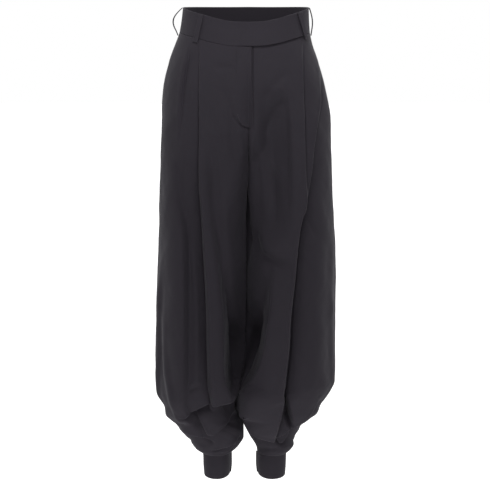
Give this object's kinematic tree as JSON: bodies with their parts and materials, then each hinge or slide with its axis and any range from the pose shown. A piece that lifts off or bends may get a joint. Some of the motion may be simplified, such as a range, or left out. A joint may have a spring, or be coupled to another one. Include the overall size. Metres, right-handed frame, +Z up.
{
  "type": "barrel leg trousers",
  "caption": "Wide barrel leg trousers with a lapped waistband, belt loops, front pleats and narrow ankle cuffs, hanging in their worn shape.",
  "frame": {"origin": "centre of the waist, halfway up the waistband at the side, where the wearer's waist holds the trousers up", "axes": "+Z up, the front of the trousers towards -Y, the wearer's left towards +X"},
  "size_m": [0.4053, 0.286, 1.0417],
  "materials": {
    "cloth": "matt twill"
  },
  "bodies": {
    "root": {"front_right": "cloth", "front_left": "cloth", "back_right": "cloth", "back_left": "cloth", "waistband": "cloth", "fly": "cloth", "loop_front_right": "cloth", "loop_front_left": "cloth", "loop_side_right": "cloth", "loop_side_left": "cloth", "loop_back": "cloth", "cuff_right": "cloth", "cuff_left": "cloth"}
  },
  "joints": []
}
